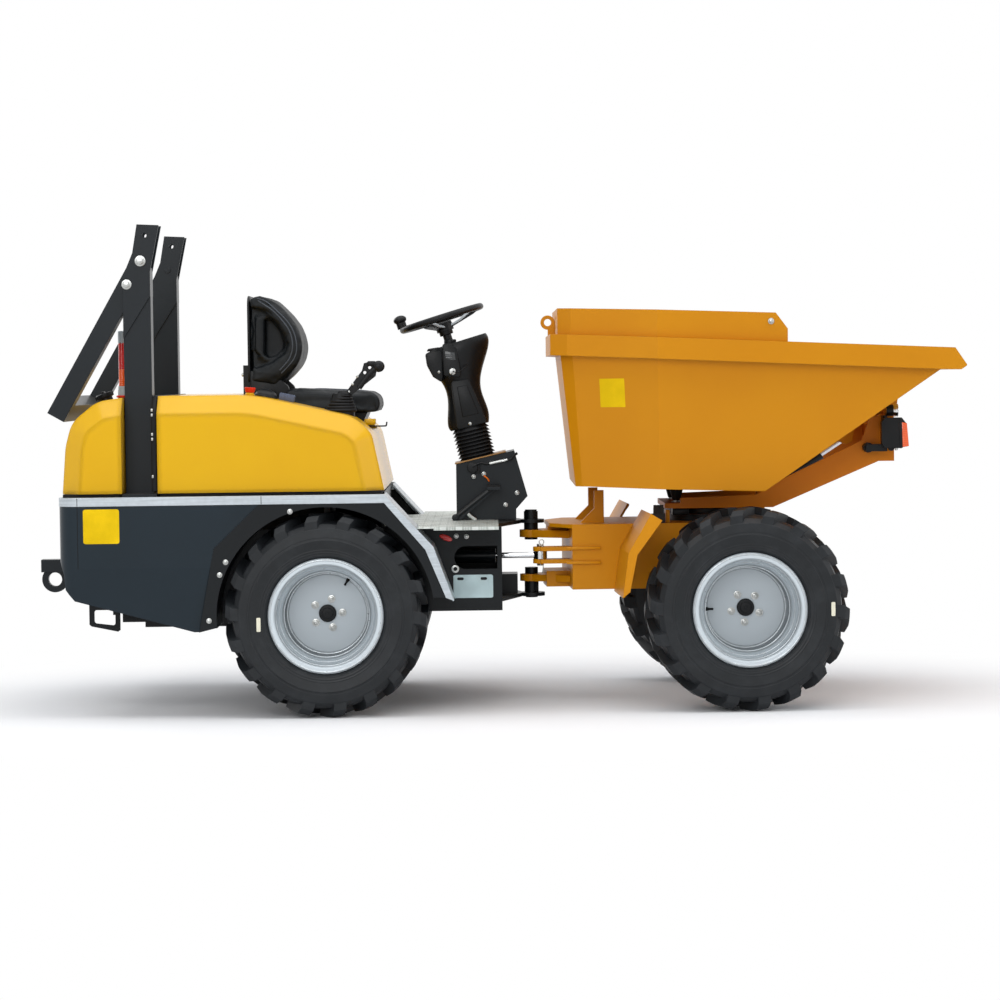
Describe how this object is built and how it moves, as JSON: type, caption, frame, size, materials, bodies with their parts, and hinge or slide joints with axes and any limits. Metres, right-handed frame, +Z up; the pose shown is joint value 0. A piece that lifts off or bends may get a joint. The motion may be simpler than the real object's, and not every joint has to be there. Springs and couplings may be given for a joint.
{
  "type": "articulated site dumper",
  "caption": "Small articulated site dumper: swivelling tipping skip in front, driver's seat over the engine, folding roll bar behind.",
  "frame": {"origin": "on the ground, under the middle of the machine's box at rest", "axes": "+X forward, +Y to the driver's left, +Z up"},
  "size_m": [3.5613, 1.4594, 1.846],
  "materials": {
    "frame_black": "satin",
    "tread_plate": "textured",
    "slate": "satin",
    "bright_trim": "satin",
    "hood_yellow": "gloss",
    "seal_rubber": "matte",
    "engine_iron": "matte",
    "black_plastic": "satin",
    "seat_vinyl": "satin",
    "lamp_orange": "gloss",
    "skip_orange": "gloss",
    "rod_chrome": "polished",
    "tyre": "matte",
    "rim_grey": "satin"
  },
  "bodies": {
    "rear_unit": {"rear_frame": "frame_black", "rear_axle": "frame_black", "floor_plate": "tread_plate", "tail_skirt": "slate", "trim_band": "bright_trim", "fender_left": "frame_black", "fender_right": "frame_black", "hood_main": "hood_yellow", "hood_tail": "hood_yellow", "hood_seals": "seal_rubber", "engine": "engine_iron", "rops_posts": "frame_black", "seat_base": "black_plastic", "seat_cushion": "seat_vinyl", "seat_back": "seat_vinyl", "control_lever": "black_plastic", "pedestal": "frame_black", "column_cover": "black_plastic", "column_bellows": "seal_rubber", "pedals": "frame_black", "beacon": "lamp_orange", "tow_hitch": "frame_black"},
    "rops_hoop": {"rops_hoop": "frame_black"},
    "steering_wheel": {"steering_wheel": "black_plastic"},
    "front_unit": {"front_frame": "skip_orange", "front_axle": "frame_black", "slew_ring": "frame_black", "mudguard_left": "skip_orange", "mudguard_right": "skip_orange"},
    "turntable": {"swivel_frame": "skip_orange", "front_lights": "black_plastic"},
    "skip": {"skip_shell": "skip_orange", "skip_board": "skip_orange"},
    "front_right_wheel": {"front_right_tyre": "tyre", "front_right_rim": "rim_grey"},
    "front_left_wheel": {"front_left_tyre": "tyre", "front_left_rim": "rim_grey"},
    "rear_right_wheel": {"rear_right_tyre": "tyre", "rear_right_rim": "rim_grey"},
    "rear_left_wheel": {"rear_left_tyre": "tyre", "rear_left_rim": "rim_grey"},
    "steer_barrel": {"steer_barrel": "frame_black"},
    "steer_rod": {"steer_rod": "rod_chrome"},
    "lift_barrel": {"lift_barrel": "frame_black"},
    "lift_rod": {"lift_rod": "rod_chrome"}
  },
  "joints": [
    {"name": "steer", "type": "hinge", "parent": "rear_unit", "child": "front_unit", "pos_m": [0.1413, -0.0227, 0.5585], "axis": [0, 0, 1], "range_deg": [-35.5, 30.5]},
    {"name": "swivel", "type": "hinge", "parent": "front_unit", "child": "turntable", "pos_m": [0.84663, 0.00809, 0.716], "axis": [0, 0, 1], "range_deg": [-87.5, 92.5]},
    {"name": "tip", "type": "hinge", "parent": "turntable", "child": "skip", "pos_m": [1.52563, 0.00809, 1.11], "axis": [0, 1, 0], "range_deg": [0, 70]},
    {"name": "rops_fold", "type": "hinge", "parent": "rear_unit", "child": "rops_hoop", "pos_m": [-1.3147, -0.0227, 1.709], "axis": [0, 1, 0], "range_deg": [0, 159.9]},
    {"name": "steering_wheel_turn", "type": "hinge", "parent": "rear_unit", "child": "steering_wheel", "pos_m": [-0.1987, -0.0227, 1.491], "axis": [-0.289, 0, 0.9573], "continuous": true},
    {"name": "front_right_spin", "type": "hinge", "parent": "front_unit", "child": "front_right_wheel", "pos_m": [0.94064, -0.56335, 0.38], "axis": [-0.0436, 0.999, 0], "continuous": true},
    {"name": "front_left_spin", "type": "hinge", "parent": "front_unit", "child": "front_left_wheel", "pos_m": [0.89048, 0.58556, 0.38], "axis": [-0.0436, 0.999, 0], "continuous": true},
    {"name": "rear_right_spin", "type": "hinge", "parent": "rear_unit", "child": "rear_right_wheel", "pos_m": [-0.6337, -0.5977, 0.38], "axis": [0, 1, 0], "continuous": true},
    {"name": "rear_left_spin", "type": "hinge", "parent": "rear_unit", "child": "rear_left_wheel", "pos_m": [-0.6337, 0.5523, 0.38], "axis": [0, 1, 0], "continuous": true},
    {"name": "steer_barrel_turn", "type": "hinge", "parent": "rear_unit", "child": "steer_barrel", "pos_m": [-0.2887, -0.1977, 0.569], "axis": [0, 0, 1], "range_deg": [-2.81, 2.48]},
    {"name": "steer_rod_slide", "type": "slide", "parent": "steer_barrel", "child": "steer_rod", "axis": [0.9996, -0.0298, 0], "range_m": [-0.115, 0.09895]},
    {"name": "lift_barrel_turn", "type": "hinge", "parent": "turntable", "child": "lift_barrel", "pos_m": [1.06563, 0.00809, 0.8], "axis": [0, 1, 0], "range_deg": [-20.6, 0.5]},
    {"name": "lift_rod_slide", "type": "slide", "parent": "lift_barrel", "child": "lift_rod", "axis": [0.8406, 0, 0.5417], "range_m": [-0.001, 0.1399]}
  ],
  "couplings": [
    {"joint": "steer_barrel_turn", "follows": "steer", "ratio": 0.065},
    {"joint": "steer_rod_slide", "follows": "steer", "m_per_rad": 0.184},
    {"joint": "lift_barrel_turn", "follows": "tip", "ratio": -0.2871},
    {"joint": "lift_rod_slide", "follows": "tip", "m_per_rad": 0.11369}
  ]
}
